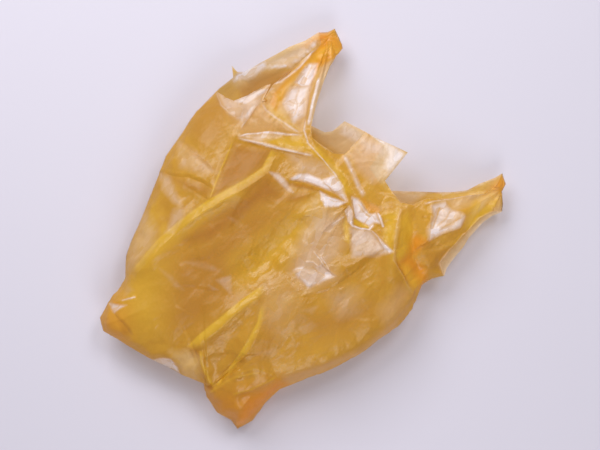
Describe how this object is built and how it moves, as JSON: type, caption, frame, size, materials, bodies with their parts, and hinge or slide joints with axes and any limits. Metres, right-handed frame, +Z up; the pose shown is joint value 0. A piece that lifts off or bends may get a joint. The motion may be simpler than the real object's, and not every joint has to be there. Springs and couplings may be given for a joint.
{
  "type": "plastic carrier bag",
  "caption": "Thin plastic carrier bag with side gussets and loop handles, lying on its back, puffed up and crumpled, mouth open.",
  "frame": {"origin": "on the surface the bag lies on, in the middle of its outline seen from above", "axes": "+Y from the bottom seal to the handles, +X across the bag, +Z up from the surface, front panel uppermost"},
  "size_m": [0.4005, 0.5059, 0.0987],
  "materials": {
    "film": "thin crinkled translucent film, satin with soft glossy highlights"
  },
  "bodies": {
    "root": {"carrier_bag": "film"}
  },
  "joints": []
}
